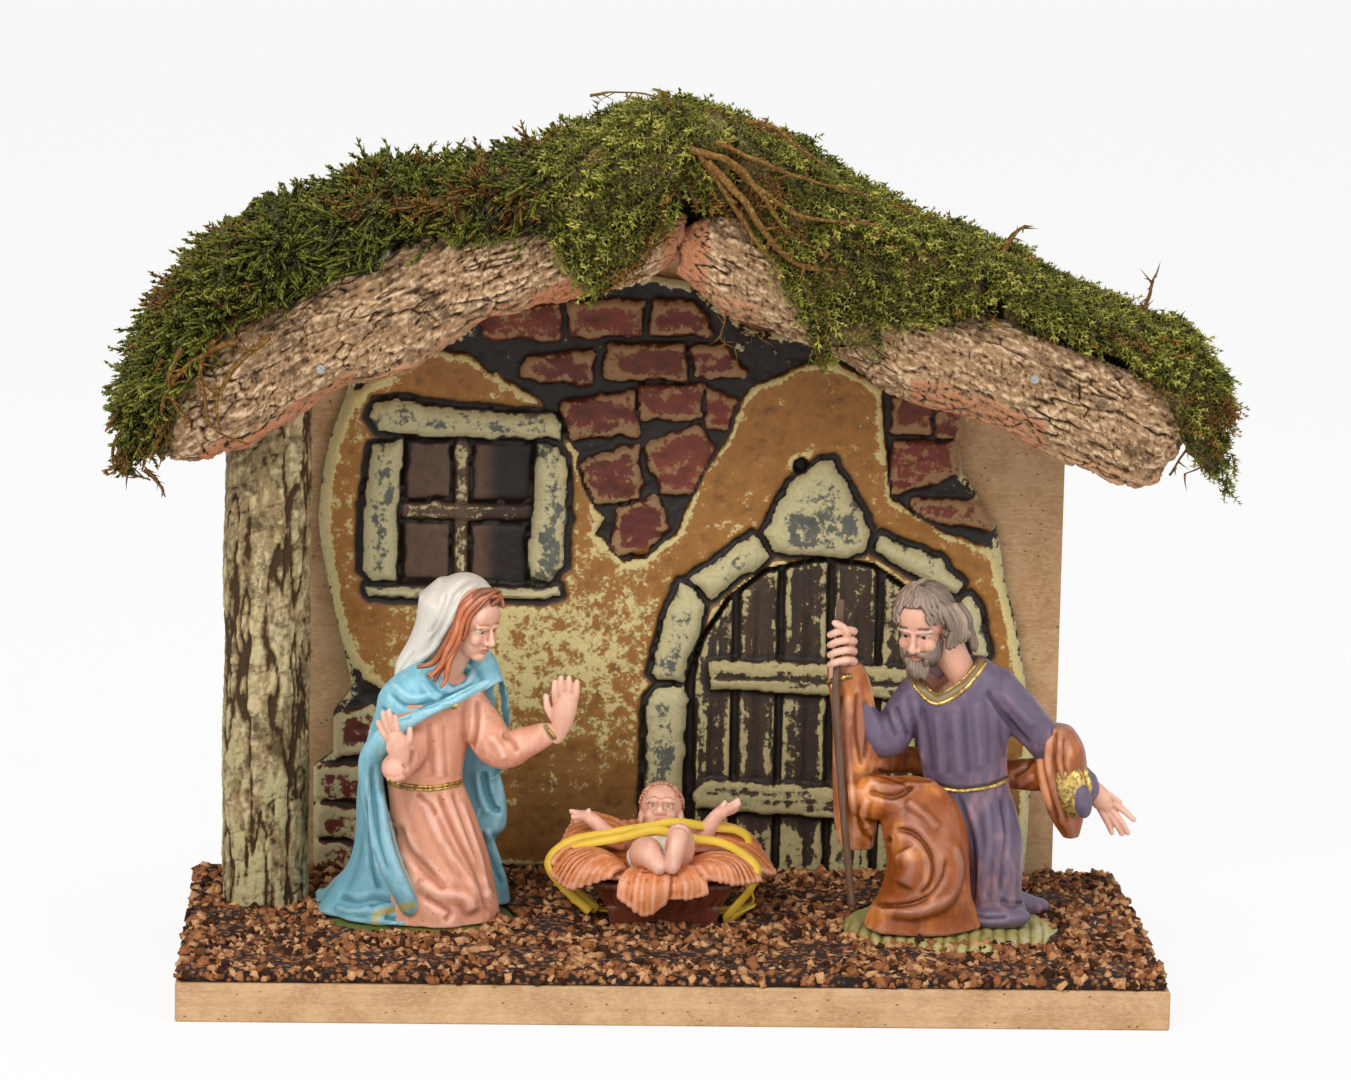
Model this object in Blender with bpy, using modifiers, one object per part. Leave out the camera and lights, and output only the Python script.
"""Nativity stable: a board with a moulded wall, a bark and moss roof, and a kneeling group.

Metres, +Z up. The origin is the middle of the base board's underside, +X is the viewer's
right, +Y is the back, and the open front faces -Y.
"""

import math
import random

import bmesh
import bpy
from mathutils import Matrix, Vector

# Clearance left between pieces that touch
FIT_GAP = 0.0003

# Neighbouring faces that lie within this many degrees become one face
FLAT_ANGLE = 0.3

# Base board
BASE_WIDTH = 0.250
BASE_DEPTH = 0.120
BASE_THICKNESS = 0.010
BASE_EDGE_ROUND = 0.0004

# Gable panel nailed to the rear edge of the base board, set in at each side
PANEL_SETBACK = 0.0175
PANEL_THICKNESS = 0.005

# Roof boards; the ridge height is their underside at the middle
RIDGE_HEIGHT = 0.190
ROOF_PITCH = math.radians(20)
ROOF_BOARD_THICKNESS = 0.003
ROOF_EAVE_OVERHANG = 0.0205
ROOF_COVER = 0.060
ROOF_REAR_OVERHANG = 0.003

# Cork bark strips along the front edges of the roof
BARK_THICKNESS = 0.011
BARK_HEIGHT = 0.0314
BARK_OVERHANG = 0.004
BARK_JOINT_X = 0.001

# Branch with its bark on that carries the left of the roof
POST_DIAMETER = 0.0225
POST_INSET = 0.00275
POST_SETBACK = 0.0167

# Moulded wall: backing plate, plaster skin, bricks, stones and door in raised steps
RELIEF_MARGIN = 0.01035
RELIEF_HEIGHT = 0.1650
RELIEF_PLATE = 0.0045
PLASTER_RAISE = 0.0018
BRICK_RAISE = 0.0013
STONE_RAISE = 0.0050
DOOR_RECESS = 0.0020
PLANK_RAISE = 0.0010
BATTEN_RAISE = 0.0030
WINDOW_RECESS = 0.0022
MUNTIN_RAISE = 0.0012

# Cork granules glued over the base board
GROUND_THICKNESS = 0.0030
GROUND_MARGIN = 0.0012
GROUND_HEAVE = 0.0008

# Brads
BRAD_DIAMETER = 0.0012
BRAD_LENGTH = 0.016
BRAD_HEAD_DIAMETER = 0.0024
BRAD_HEAD_THICKNESS = 0.0006
PANEL_BRAD_SPACING = 0.090
ROOF_BRAD_X = (0.025, 0.085)
BARK_BRAD_X = 0.091

# Bead of hot glue on the left bark strip, at its distance from the ridge
GLUE_REACH = 0.0768
GLUE_LENGTH = 0.008
GLUE_HEIGHT = 0.0026

# Highest crest of the moss over the roof boards' underside
MOSS_HEIGHT = 0.046

# Figures: how far each stands in from its end of the board and behind the board's middle,
# and its size, as the height over the floor of the tallest point
MOTHER_INSET = 0.0610
MOTHER_SETBACK = 0.0020
MOTHER_HEIGHT = 0.0938
MOTHER_FOOT_WIDTH = 0.050
MOTHER_FOOT_DEPTH = 0.060
MOTHER_FOOT_THICKNESS = 0.0032
FATHER_INSET = 0.0510
FATHER_SETBACK = -0.0040
FATHER_HEIGHT = 0.0938
FATHER_FOOT_WIDTH = 0.057
FATHER_FOOT_DEPTH = 0.060
FATHER_FOOT_THICKNESS = 0.0042
STAFF_DIAMETER = 0.0020

# Manger with the child and the elastic band that holds them
MANGER_SHIFT = -0.0010
MANGER_SETBACK = -0.0010
CRIB_WIDTH = 0.038
CRIB_DEPTH = 0.024
CRIB_HEIGHT = 0.0150
CRIB_CORNER = 0.007
CRIB_FOOT_THICKNESS = 0.0044
STRAW_WIDTH = 0.0580
STRAW_DEPTH = 0.0400
STRAW_THICKNESS = 0.0022
STRAW_CROWN = 0.0035
STRAW_FRONT_DROOP = 0.0090
STRAW_REAR_RISE = 0.0110
CHILD_LENGTH = 0.034
BAND_DIAMETER = 0.0011
BAND_SPREAD = 0.0090

# Planes, levels and places that follow from the sizes
FLOOR = BASE_THICKNESS + FIT_GAP
PANEL_WIDTH = BASE_WIDTH - 2 * PANEL_SETBACK
RELIEF_WIDTH = PANEL_WIDTH - 2 * RELIEF_MARGIN
ROOF_REACH = PANEL_WIDTH / 2 + ROOF_EAVE_OVERHANG
BARK_REACH = ROOF_REACH + BARK_OVERHANG
PANEL_FRONT = BASE_DEPTH / 2 + FIT_GAP
PANEL_BACK = PANEL_FRONT + PANEL_THICKNESS
ROOF_FRONT = PANEL_FRONT - ROOF_COVER
ROOF_BACK = PANEL_BACK + ROOF_REAR_OVERHANG
RELIEF_BACK = PANEL_FRONT - FIT_GAP
PLATE_FRONT = RELIEF_BACK - RELIEF_PLATE
BARK_BACK = ROOF_FRONT - FIT_GAP
BARK_FACE = BARK_BACK - BARK_THICKNESS
ROOF_RISE = ROOF_BOARD_THICKNESS / math.cos(ROOF_PITCH)
POST_X = POST_INSET - PANEL_WIDTH / 2
POST_Y = ROOF_FRONT + POST_SETBACK
MOTHER_PLACE = (MOTHER_INSET - BASE_WIDTH / 2, MOTHER_SETBACK)
FATHER_PLACE = (BASE_WIDTH / 2 - FATHER_INSET, FATHER_SETBACK)
MANGER_PLACE = (MANGER_SHIFT, MANGER_SETBACK)
STRAND_GAP = 1.15 * (BAND_DIAMETER / 2 + FIT_GAP)
BAND_UNDER = FLOOR + GROUND_THICKNESS + GROUND_HEAVE + BAND_DIAMETER / 2 + STRAND_GAP + FIT_GAP
TUB_FLOOR = BAND_UNDER + BAND_DIAMETER / 2 + STRAND_GAP + FIT_GAP
CRIB_RIM = FLOOR + CRIB_HEIGHT
CHILD_BED = CRIB_RIM + STRAW_THICKNESS + 3 * FIT_GAP

# Outlines of the moulded wall in millimetres at its drawn size: x, and height over its foot
WALL_DRAWN_WIDTH = 194.3
WALL_DRAWN_HEIGHT = 165.0
WALL_OUTLINE = [
    (-93, 0.0), (-93.3, 30), (-88, 34), (-88, 45), (-83, 52), (-85.5, 63), (-89, 77), (-92, 92),
    (-92.6, 99), (-91.6, 110), (-89.6, 120), (-85.7, 131), (-83.9, 138), (-71, 146), (-50, 157),
    (-29, 163), (-8, 165), (5.5, 163), (22, 150), (46, 149), (58, 142), (82.5, 131), (78.4, 121),
    (79.4, 113), (85.6, 104), (89.5, 98), (91.6, 84.5), (95.2, 72), (98.1, 57), (101, 37), (99.5, 0.0),
]
PLASTER_LEFT = [
    (-79.9, 3), (-77, 22), (-75, 33), (-70, 44), (-73, 50.5), (-80, 54), (-85, 62), (-88.5, 76.5),
    (-91, 92), (-91.8, 100), (-90.6, 110), (-88.6, 120), (-84, 132), (-75, 139), (-63.4, 144.6),
    (-52.7, 143.4), (-47.4, 139), (-36.6, 133), (-28, 126.3), (-23.6, 117), (-20.2, 106),
    (-16.1, 99.4), (-17.9, 95.3), (-10.5, 88.1), (-5.2, 89.5), (2.7, 95.6), (7.8, 109.2),
    (14.8, 120), (19.3, 131), (23.2, 136.4), (35.4, 141.7), (45, 143), (57.9, 135.6), (59.2, 119),
    (61.4, 106), (73.7, 98), (88.5, 92), (91, 84), (94.6, 72), (97.5, 57), (100, 37), (98.5, 3),
]
DOOR_OUTLINE = [
    (6, 1), (6.4, 32), (6.5, 55), (10, 67), (17, 78), (27, 86), (41.8, 89.5), (56, 88), (68, 80),
    (76, 68), (79.5, 54), (79.5, 1),
]
WINDOW_OUTLINE = [(-70.8, 120.5), (-34.8, 119.8), (-35.8, 80.6), (-71.5, 80.8)]

BRICKS = [
    [(-48, 149), (-48, 154), (-30, 156), (-30.3, 148)],
    [(-25.8, 149), (-26, 156), (-8, 157.5), (-8, 149.5)],
    [(-3.5, 150), (-3.6, 157.5), (6, 157), (11, 150)],
    [(-38, 137.5), (-37, 142), (-21, 143), (-21, 136)],
    [(-15.5, 138), (-15.5, 145), (4, 146), (4, 137.5)],
    [(7.3, 138.5), (7, 145.5), (15, 145), (19.5, 139)],
    [(-27, 122), (-27, 130), (-9, 132.5), (-8.6, 123)],
    [(-6.5, 127.5), (-6.5, 134), (9, 135), (8.8, 127)],
    [(11, 124.5), (11, 133.5), (17.5, 131), (15.5, 125)],
    [(-20, 104), (-21.5, 114), (-8, 118.5), (-7.5, 105)],
    [(-0.4, 107), (-4.5, 119), (8, 124), (12.3, 118), (8, 107)],
    [(-14, 90.5), (-12, 101), (-2.5, 104.5), (0.5, 97), (-5, 91)],
    [(61, 124), (61, 132), (71, 132), (71.5, 124)],
    [(72.5, 123.5), (72.5, 131.5), (79.5, 130), (77.5, 122.5)],
    [(61.5, 108.5), (61, 120), (77, 121), (78, 113)],
    [(69, 101.5), (67, 105), (84, 104), (87.5, 98)],
    [(-87, 35), (-86.5, 44), (-78, 46.5), (-74.5, 43), (-76.5, 36)],
    [(-92.5, 22), (-92.3, 29.5), (-81, 30.5), (-80, 23)],
    [(-91.8, 12), (-91.5, 18.5), (-79.5, 18.8), (-80, 11.5)],
    [(-92.5, 1.2), (-92.5, 8.5), (-81, 9), (-81, 1.2)],
]
WINDOW_STONES = [
    [(-79.6, 126), (-78, 130.2), (-73, 131), (-63, 129.7), (-50, 128.5), (-30, 127.6), (-27.6, 125),
     (-28.5, 120.6), (-44, 120.7), (-66, 121.2), (-77, 122.4)],
    [(-78.2, 118.7), (-70.3, 120.4), (-70.3, 118), (-71.3, 99), (-71.6, 82), (-77.5, 82),
     (-81, 84.6), (-80.7, 104)],
    [(-34.8, 119.6), (-29, 119.2), (-26.6, 115.8), (-26, 99.7), (-26.6, 86), (-30.5, 81.6),
     (-35.9, 83), (-36.6, 86), (-35.4, 103)],
    [(-79.9, 80.4), (-62.5, 79.9), (-44, 79.9), (-28, 81), (-27.5, 78.5), (-31.8, 77.1),
     (-62.5, 76.9), (-78.5, 77.3)],
]
DOOR_STONES = [
    [(-4, 1), (-4.3, 40), (-4, 50.9), (-0.6, 53.7), (6.1, 54.3), (6.8, 50), (6.3, 32), (6.4, 1)],
    [(-3.3, 57.5), (-1.3, 66), (1.1, 75.6), (4.2, 82.4), (7.5, 81.4), (11.3, 76), (9.9, 67.5),
     (7.3, 62), (6.1, 55.2), (-1.1, 55.4)],
    [(6.4, 83.2), (14.8, 89.3), (23.2, 95.8), (25.4, 94.4), (28.6, 89.4), (24.2, 85.9),
     (17.6, 82), (13, 77.2)],
    [(26.2, 95.7), (30.5, 104.5), (34.4, 111.3), (40.9, 116), (44.4, 116.5), (47.7, 111.4),
     (53.3, 102), (55.3, 97.5), (53.9, 91.5), (49.6, 89.5), (33.5, 89.8), (28.8, 91.6)],
    [(56.2, 91.2), (58, 95.9), (63, 94), (73.7, 90.1), (80.8, 82.6), (78.6, 79.6), (71.3, 82.4),
     (64.4, 86.7)],
    [(79.8, 78.8), (82.6, 80.4), (85.2, 76), (88, 63), (84, 61.4), (81.2, 68.4), (78.8, 74)],
    [(81.5, 59.5), (87.8, 61), (88.6, 40), (88, 1), (80, 1), (80, 40)],
]
DOOR_PLANKS_X = [(9, 19), (20.5, 31), (32.5, 44.5), (46, 57.5), (59, 69), (70.5, 78.5)]
MUNTIN_UPRIGHT = [(-56.4, 79), (-52.4, 79), (-52.4, 121.5), (-56.4, 121.5)]
MUNTIN_CROSS = [(-72, 98.2), (-34, 98.0), (-34, 102.8), (-72, 102.9)]
DOOR_BATTENS = [
    [(12.8, 60.9), (12.2, 57), (12.6, 52.9), (37, 51.6), (77.7, 51), (77.5, 59.2), (64, 60), (27.6, 61.3)],
    [(8.7, 24), (9.6, 20), (46, 17.6), (78.7, 16.4), (78.5, 24.6), (46, 26.4), (12.1, 28.4)],
]

# Bark strips: place from the ridge to the outer end (0 to 1), then the lower and upper edge
# in millimetres from the roof board's underside at the drawn height, and the face's bulge
BARK_DRAWN_HEIGHT = 31.4
BARK_LEFT_STATIONS = [
    (0.00, -1.0, 8.0, 0.6), (0.07, -4.4, 10.5, 0.9), (0.15, -3.5, 13.5, 1.0), (0.23, -2.5, 18.5, 0.9),
    (0.31, -0.9, 22.0, 1.0), (0.39, -0.2, 24.5, 1.05), (0.47, -3.9, 26.0, 1.0), (0.54, -6.7, 24.6, 1.0),
    (0.65, -5.6, 22.6, 0.95), (0.73, -8.0, 21.3, 1.0), (0.81, -11.4, 20.0, 1.0),
    (0.87, -12.0, 18.4, 1.05), (0.95, -10.4, 14.0, 0.9), (1.00, -6.0, 8.0, 0.5),
]
BARK_RIGHT_STATIONS = [
    (0.00, -6.5, 5.0, 0.7), (0.04, -9.5, 9.5, 1.0), (0.09, -11.6, 12.8, 1.15), (0.17, -11.0, 12.5, 1.1),
    (0.24, -11.7, 8.5, 0.9), (0.33, -13.0, 5.0, 0.85), (0.43, -16.0, 6.0, 1.0), (0.54, -14.8, 9.6, 1.0),
    (0.63, -13.8, 11.7, 1.05), (0.74, -15.8, 11.9, 1.0), (0.82, -16.2, 11.8, 1.0),
    (0.86, -17.2, 11.9, 0.95), (0.92, -15.0, 11.0, 0.9), (0.97, -4.7, 10.0, 0.7), (1.00, 2.0, 8.4, 0.4),
]

# Moss clumps: from and to, as places from the ridge to the eave (-1 left, 1 right); then at
# equal steps the crest over the roof board's underside, how far the clump stands forward of
# the bark's face, and its lower lip from that underside, in millimetres at the drawn height
MOSS_DRAWN_HEIGHT = 46
MOSS_CLUMPS = {
    "moss_left_eave": (-1.129, -0.883, [(16, -3, -10), (30, 2, -14), (41, 4, 6), (46, 4, 17)]),
    "moss_left_slope": (-0.883, -0.352, [(46, 3, 17), (48, 5, 19), (44, 1, 20), (45, 2, 22), (48.5, 4, 22),
                                         (44, 1, 24), (40, 3, 22), (39, 6, 20), (37, 5, 18)]),
    "moss_ridge": (-0.352, 0.102, [(38, 5, 18), (39, 6, 12), (39, 7, -4), (40, 7, -4), (38, 5, 13),
                                   (38, 2, 12)]),
    "moss_right_slope": (0.102, 0.625, [(38, 2, 13), (38, 5, 4), (38, 7, -14), (34, 7, -9), (32, 6, 2),
                                        (31, 5, 6), (32, 4, 9)]),
    "moss_right_eave": (0.625, 1.137, [(32, 3, 10), (32, 2, 11), (28, 2, 11), (28, 2, 11), (28, 3, 6),
                                       (29, 2, -8), (20, -2, -12)]),
}
MOSS_REAR_DROP = 0.004
MOSS_LUMP = 0.0014


def clear_scene():
    for old in list(bpy.data.objects):
        bpy.data.objects.remove(old, do_unlink=True)
    for old in list(bpy.data.collections):
        bpy.data.collections.remove(old)


def new_collection(name):
    made = bpy.data.collections.new(name)
    bpy.context.scene.collection.children.link(made)
    return made


clear_scene()
PARTS = new_collection("nativity_stable")
CUTTERS = new_collection("cutters")


def finish(name, colour, roughness, metallic=0.0):
    """A Principled material; the colour is linear red, green and blue."""
    made = bpy.data.materials.new(name)
    made.use_nodes = True
    shader = made.node_tree.nodes["Principled BSDF"]
    shader.inputs["Base Color"].default_value = (*colour, 1.0)
    shader.inputs["Roughness"].default_value = roughness
    shader.inputs["Metallic"].default_value = metallic
    made.diffuse_color = (*colour, 1.0)
    return made


FINISHES = {
    "mdf": finish("mdf", (0.52, 0.36, 0.20), 0.85),
    "resin": finish("painted_resin", (0.42, 0.26, 0.08), 0.65),
    "bark": finish("cork_bark", (0.24, 0.15, 0.09), 0.95),
    "branch": finish("branch_bark", (0.16, 0.12, 0.07), 0.95),
    "moss": finish("dried_moss", (0.10, 0.15, 0.02), 0.95),
    "granules": finish("cork_granules", (0.25, 0.10, 0.05), 0.95),
    "steel": finish("brad_steel", (0.55, 0.53, 0.50), 0.35, 1.0),
    "glue": finish("hot_glue", (0.62, 0.68, 0.75), 0.30),
    "gown": finish("rose_paint", (0.70, 0.30, 0.19), 0.50),
    "cloak_blue": finish("blue_paint", (0.12, 0.45, 0.66), 0.45),
    "veil": finish("white_paint", (0.80, 0.77, 0.72), 0.50),
    "skin": finish("skin_paint", (0.75, 0.40, 0.28), 0.45),
    "grass": finish("green_paint", (0.22, 0.28, 0.09), 0.60),
    "tunic": finish("violet_paint", (0.15, 0.10, 0.18), 0.50),
    "cloak_brown": finish("brown_paint", (0.40, 0.11, 0.02), 0.25),
    "staff": finish("staff_brown", (0.10, 0.05, 0.03), 0.45),
    "crib": finish("crib_red_brown", (0.22, 0.05, 0.02), 0.50),
    "straw": finish("straw_salmon", (0.72, 0.30, 0.12), 0.60),
    "rubber": finish("yellow_rubber", (0.80, 0.65, 0.05), 0.45),
}


def add_object(name, mesh_builder):
    """Turn a bmesh into an object in the parts collection, shaded smooth by angle."""
    mesh = bpy.data.meshes.new(name)
    bmesh.ops.recalc_face_normals(mesh_builder, faces=mesh_builder.faces[:])
    mesh_builder.to_mesh(mesh)
    mesh_builder.free()
    made = bpy.data.objects.new(name, mesh)
    PARTS.objects.link(made)
    return made


def as_mesh(source):
    """Replace an object with modifiers or a curve by its evaluated, welded mesh."""
    bpy.context.view_layer.update()
    depsgraph = bpy.context.evaluated_depsgraph_get()
    mesh = bpy.data.meshes.new_from_object(source.evaluated_get(depsgraph))
    work = bmesh.new()
    work.from_mesh(mesh)
    bmesh.ops.transform(work, matrix=source.matrix_world, verts=work.verts[:])
    bmesh.ops.remove_doubles(work, verts=work.verts[:], dist=0.000001)
    bmesh.ops.triangulate(work, faces=[face for face in work.faces if len(face.verts) > 4])
    name = source.name
    bpy.data.objects.remove(source, do_unlink=True)
    bpy.data.meshes.remove(mesh)
    return add_object(name, work)


def flat_piece(name, outline, front, back):
    """Extrude an outline given in x and z, from the plane y = front to y = back."""
    curve = bpy.data.curves.new(name, "CURVE")
    curve.dimensions = "2D"
    curve.fill_mode = "BOTH"
    curve.extrude = (back - front) / 2
    spline = curve.splines.new("POLY")
    spline.points.add(len(outline) - 1)
    for point, (x, z) in zip(spline.points, outline):
        point.co = (x, z, 0.0, 1.0)
    spline.use_cyclic_u = True
    made = bpy.data.objects.new(name, curve)
    PARTS.objects.link(made)
    made.location = (0.0, (front + back) / 2, 0.0)
    made.rotation_euler = (math.radians(90), 0.0, 0.0)
    return as_mesh(made)


def smooth_path(points, steps, closed=False):
    """Catmull-Rom points through the given ones; each may carry a radius as a fourth value."""
    count = len(points)
    spans = count if closed else count - 1
    path = []
    for span in range(spans):
        if closed:
            four = [points[(span + k) % count] for k in (-1, 0, 1, 2)]
        else:
            four = [points[min(max(span + k, 0), count - 1)] for k in (-1, 0, 1, 2)]
        for step in range(steps):
            t = step / steps
            path.append(tuple(
                0.5 * (2 * b + (c - a) * t + (2 * a - 5 * b + 4 * c - d) * t * t
                       + (3 * b - a - 3 * c + d) * t ** 3)
                for a, b, c, d in zip(*four)))
    if not closed:
        path.append(tuple(points[-1]))
    return path


def tube(name, points, grow=0.0, steps=3, resolution=2, closed=False):
    """Round limb, wire or rod through points of x, y, z and radius, in metres."""
    path = [Vector(point) for point in smooth_path(points, steps, closed)]
    if grow and not closed:
        for end, inner in ((0, 1), (-1, -2)):
            along = (path[end] - path[inner])
            along[3] = 0.0
            path[end] = path[end] + along.normalized() * grow
    curve = bpy.data.curves.new(name, "CURVE")
    curve.dimensions = "3D"
    curve.bevel_depth = 1.0
    curve.bevel_resolution = resolution
    curve.use_fill_caps = True
    spline = curve.splines.new("POLY")
    spline.points.add(len(path) - 1)
    for point, place in zip(spline.points, path):
        point.co = (place[0], place[1], place[2], 1.0)
        point.radius = place[3] + grow
    spline.use_cyclic_u = closed
    made = bpy.data.objects.new(name, curve)
    PARTS.objects.link(made)
    return as_mesh(made)


def ball(name, centre, radii, turn=(0.0, 0.0, 0.0), grow=0.0, segments=14):
    """Ellipsoid, turned by Euler angles in degrees."""
    work = bmesh.new()
    bmesh.ops.create_uvsphere(work, u_segments=segments, v_segments=segments * 2 // 3, radius=1.0)
    size = Matrix.Diagonal([radius + grow for radius in radii] + [1.0])
    spin = Matrix.Identity(4)
    for axis, angle in zip("XYZ", turn):
        spin = Matrix.Rotation(math.radians(angle), 4, axis) @ spin
    bmesh.ops.transform(work, matrix=Matrix.Translation(centre) @ spin @ size, verts=work.verts[:])
    return add_object(name, work)


def loft(name, sections):
    """Closed skin over equal-length rings of points, with a cap on each end.

    Each side face is split the same way, so that a form and its larger cutter stay parallel.
    """
    work = bmesh.new()
    rings = [[work.verts.new(point) for point in section] for section in sections]
    count = len(sections[0])
    for lower, upper in zip(rings, rings[1:]):
        for k in range(count):
            after = (k + 1) % count
            work.faces.new((lower[k], lower[after], upper[after]))
            work.faces.new((lower[k], upper[after], upper[k]))
    work.faces.new(rings[0][::-1])
    work.faces.new(rings[-1])
    return add_object(name, work)


def draped(name, rings, grow=0.0, sides=18, folds=0, fold_depth=0.0, phase=0.0):
    """Upright loft of ovals: each ring is x, y, z, half width, half depth and turn in degrees."""
    sections = []
    for number, (x, y, z, half_x, half_y, turn) in enumerate(rings):
        if grow and number in (0, len(rings) - 1):
            z += -grow if number == 0 else grow
        spread = fold_depth * (1 - number / (len(rings) - 1))
        spin = math.radians(turn)
        section = []
        for k in range(sides):
            angle = 2 * math.pi * k / sides
            swell = 1 + spread * math.cos(folds * angle + phase)
            u = (half_x * swell + grow) * math.cos(angle)
            v = (half_y * swell + grow) * math.sin(angle)
            section.append((x + u * math.cos(spin) - v * math.sin(spin),
                            y + u * math.sin(spin) + v * math.cos(spin), z))
        sections.append(section)
    return loft(name, sections)


def combine(target, other, operation):
    """Boolean that uses up the other object."""
    modifier = target.modifiers.new("join", "BOOLEAN")
    modifier.operation = operation
    modifier.solver = "EXACT"
    modifier.object = other
    name = target.name
    joined = as_mesh(target)
    joined.name = name
    bpy.data.objects.remove(other, do_unlink=True)
    return joined


def fuse(name, forms):
    """Union of several closed forms under one name."""
    whole = forms[0]
    for form in forms[1:]:
        whole = combine(whole, form, "UNION")
    whole.name = name
    return whole


def carve(target, forms):
    """Take several closed forms away from the target; each is used up."""
    for form in forms:
        PARTS.objects.unlink(form)
        CUTTERS.objects.link(form)
        form.display_type = "WIRE"
        form.hide_render = True
    for form in forms:
        target = combine(target, form, "DIFFERENCE")
    return target


def keep_main_body(target):
    """Drop the loose offcuts that a carved form leaves and keep the largest body."""
    work = bmesh.new()
    work.from_mesh(target.data)
    left = set(work.verts)
    bodies = []
    while left:
        stack = [left.pop()]
        body = set(stack)
        while stack:
            for edge in stack.pop().link_edges:
                for vert in edge.verts:
                    if vert in left:
                        left.discard(vert)
                        body.add(vert)
                        stack.append(vert)
        bodies.append(body)
    bodies.sort(key=len)
    for body in bodies[:-1]:
        bmesh.ops.delete(work, geom=list(body), context="VERTS")
    work.to_mesh(target.data)
    work.free()
    return target


def dress(target, finish_name, angle=35):
    """Merge flat neighbours, then give a finished piece its material and smooth shading."""
    work = bmesh.new()
    work.from_mesh(target.data)
    bmesh.ops.dissolve_limit(work, angle_limit=math.radians(FLAT_ANGLE), verts=work.verts[:],
                             edges=work.edges[:])
    work.to_mesh(target.data)
    work.free()
    target.data.materials.clear()
    target.data.materials.append(FINISHES[finish_name])
    target.data.shade_smooth()
    target.data.set_sharp_from_angle(angle=math.radians(angle))
    return target


def box(name, low, high):
    work = bmesh.new()
    bmesh.ops.create_cube(work, size=1.0)
    middle = (Vector(low) + Vector(high)) / 2
    size = Vector(high) - Vector(low)
    bmesh.ops.transform(work, matrix=Matrix.Translation(middle) @ Matrix.Diagonal([*size, 1.0]),
                        verts=work.verts[:])
    return add_object(name, work)


def roof_under(x):
    """Height of the roof boards' underside at x."""
    return RIDGE_HEIGHT - abs(x) * math.tan(ROOF_PITCH)


# Base, panel and roof boards

def roof_outline(side, grow=0.0):
    """Cross-section of one roof board; side is -1 for the left and 1 for the right."""
    inner = FIT_GAP / 2 - grow
    outer = ROOF_REACH + grow
    low = -grow / math.cos(ROOF_PITCH)
    high = ROOF_RISE - low
    return [(side * x, RIDGE_HEIGHT - x * math.tan(ROOF_PITCH) + lift)
            for x, lift in ((inner, low), (outer, low), (outer, high), (inner, high))]


def roof_board(name, side, grow=0.0):
    return flat_piece(name, roof_outline(side, grow), ROOF_FRONT - grow, ROOF_BACK + grow)


def base_board():
    low = (-BASE_WIDTH / 2, -BASE_DEPTH / 2, 0.0)
    high = (BASE_WIDTH / 2, BASE_DEPTH / 2, BASE_THICKNESS)
    board = box("base_board", low, high)
    bevel = board.modifiers.new("edges", "BEVEL")
    bevel.width = BASE_EDGE_ROUND
    bevel.segments = 1
    return as_mesh(board)


def back_panel():
    half = PANEL_WIDTH / 2
    below = FIT_GAP / math.cos(ROOF_PITCH)
    outline = [(-half, 0.0), (half, 0.0), (half, roof_under(half) - below),
               (0.0, RIDGE_HEIGHT - below), (-half, roof_under(half) - below)]
    return flat_piece("back_panel", outline, PANEL_FRONT, PANEL_BACK)


# Brads

def brad(name, head, direction, grow=0.0):
    """Brad with its head's outer face at the given point, pointing along the direction."""
    work = bmesh.new()
    shank = BRAD_DIAMETER / 2 + grow
    cap = BRAD_HEAD_DIAMETER / 2 + grow
    thick = BRAD_HEAD_THICKNESS + grow
    profile = [(cap, -grow), (cap, thick), (shank, thick), (shank, BRAD_LENGTH - BRAD_DIAMETER),
               (BRAD_DIAMETER * 0.08 + grow, BRAD_LENGTH + grow)]
    sides = 8
    axis = Vector(direction).normalized()
    frame = axis.to_track_quat("Z", "Y").to_matrix()
    start = Vector(head)
    rings = [[work.verts.new(start + frame @ Vector((radius * math.cos(2 * math.pi * k / sides),
                                                     radius * math.sin(2 * math.pi * k / sides), along)))
              for k in range(sides)] for radius, along in profile]
    for lower, upper in zip(rings, rings[1:]):
        for k in range(sides):
            work.faces.new((lower[k], lower[(k + 1) % sides], upper[(k + 1) % sides], upper[k]))
    work.faces.new(rings[0][::-1])
    work.faces.new(rings[-1])
    return add_object(name, work)


def panel_brad(name, x, grow=0.0):
    head = (x, PANEL_BACK + BRAD_HEAD_THICKNESS + FIT_GAP, BASE_THICKNESS / 2)
    return brad(name, head, (0, -1, 0), grow)


def roof_brad(name, x, grow=0.0):
    side = 1 if x > 0 else -1
    normal = Vector((side * math.sin(ROOF_PITCH), 0.0, math.cos(ROOF_PITCH)))
    surface = Vector((x, (PANEL_FRONT + PANEL_BACK) / 2, roof_under(x) + ROOF_RISE))
    return brad(name, surface + normal * (BRAD_HEAD_THICKNESS + FIT_GAP), -normal, grow)


def bark_brad(name, x, grow=0.0):
    head = (x, BARK_BACK - BARK_THICKNESS * 1.08 - BRAD_HEAD_THICKNESS, roof_under(x) + ROOF_RISE / 2)
    return brad(name, head, (0, 1, 0), grow)


# Bark strips and the branch

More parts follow.
